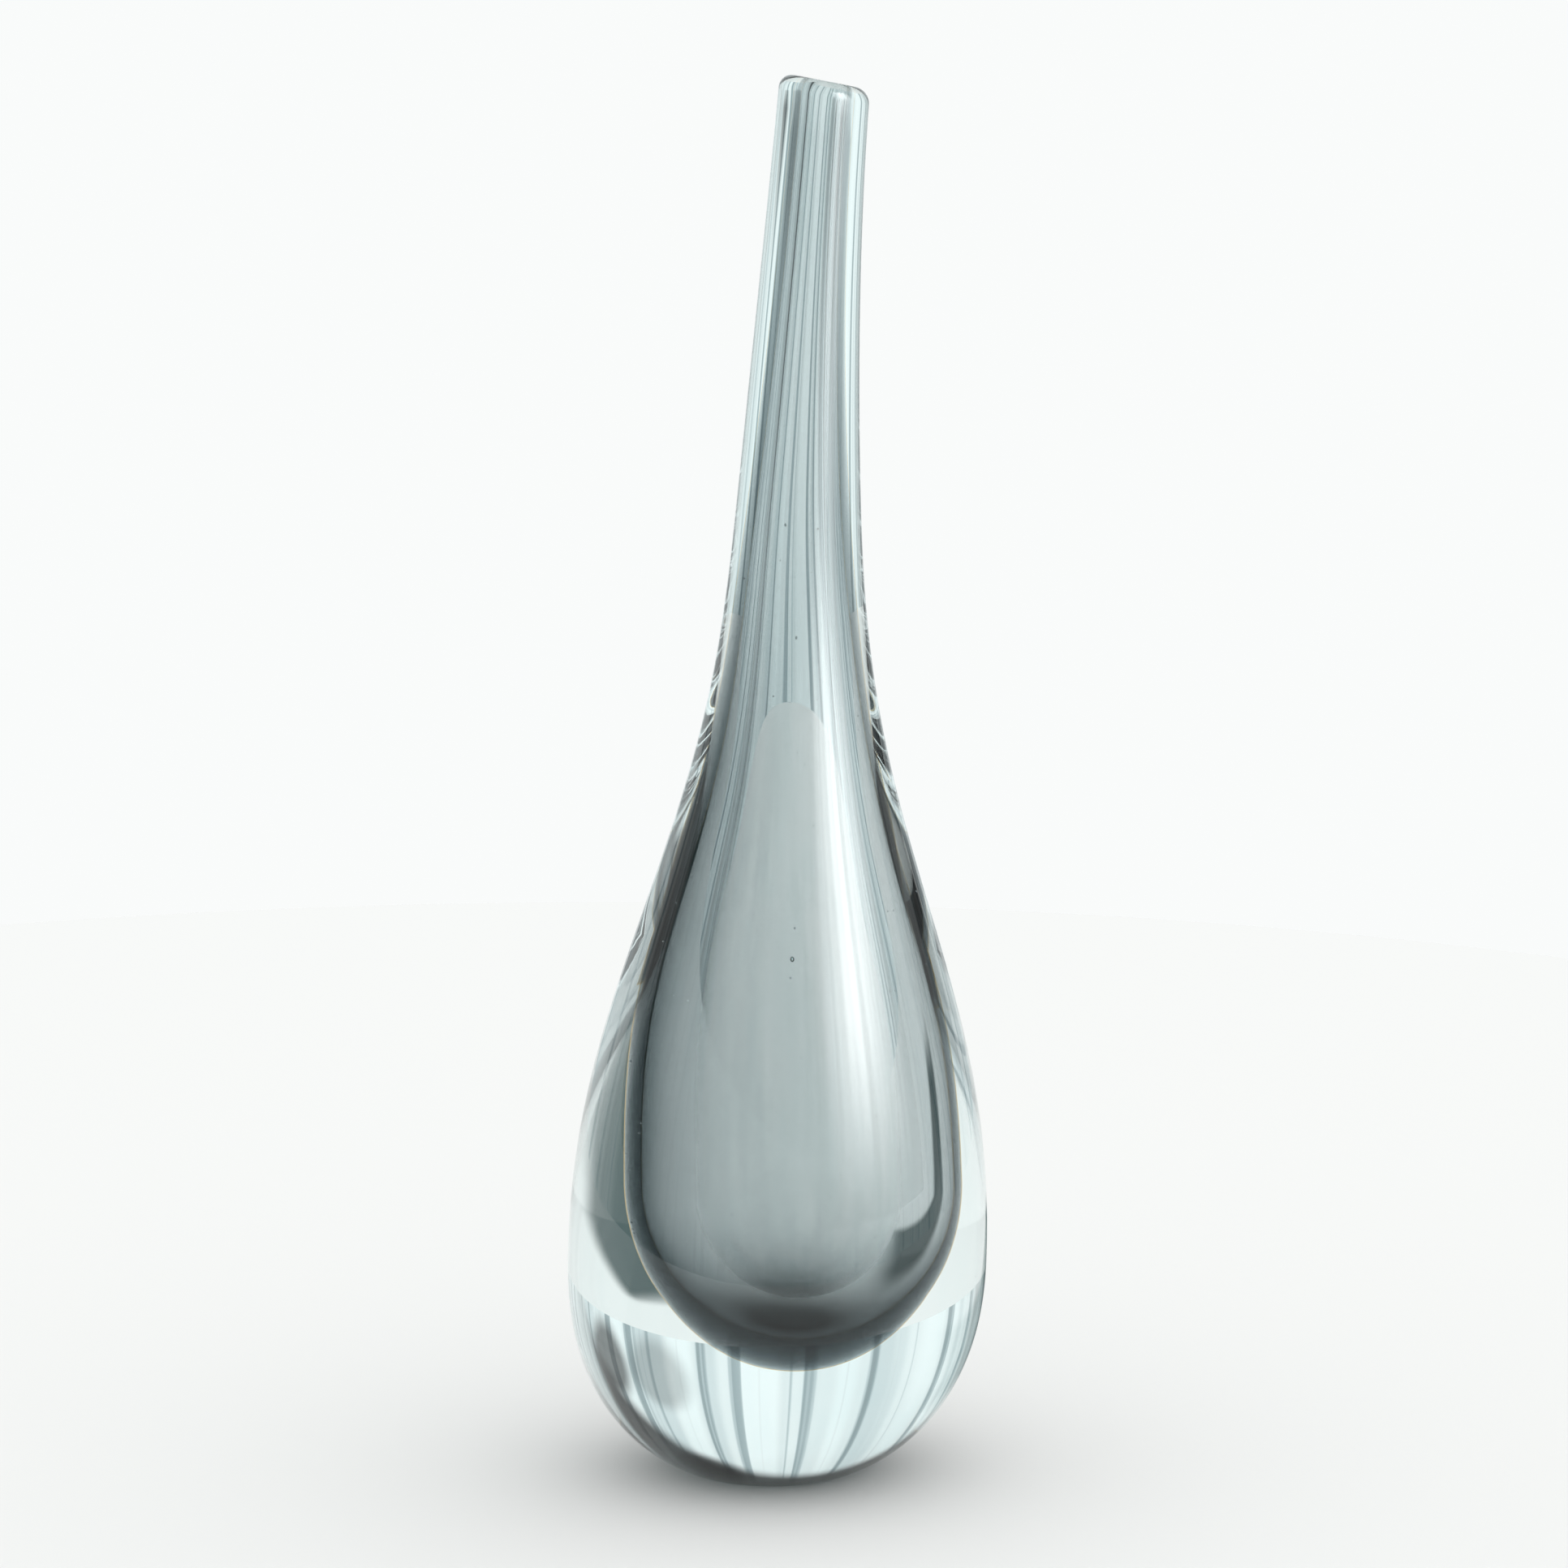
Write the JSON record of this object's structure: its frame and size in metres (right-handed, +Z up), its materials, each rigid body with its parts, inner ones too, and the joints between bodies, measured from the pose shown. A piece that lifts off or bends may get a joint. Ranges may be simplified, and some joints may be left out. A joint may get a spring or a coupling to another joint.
{
  "type": "cased glass vase",
  "caption": "Tall hand blown vase: a smoke-grey glass bulb and neck cased in thick clear glass, on a flat ground foot, with a slanting lip.",
  "frame": {"origin": "the middle of the flat ground foot, on the surface the vase stands on", "axes": "+Z up through the neck; +X to the side that the neck leans to and the lip slopes down to"},
  "size_m": [0.1307, 0.1306, 0.4321],
  "materials": {
    "clear_glass": "fire-polished gloss",
    "smoke_glass": "smoke-grey transparent gloss"
  },
  "bodies": {
    "root": {"clear_casing": "clear_glass", "smoke_lining": "smoke_glass"}
  },
  "joints": []
}
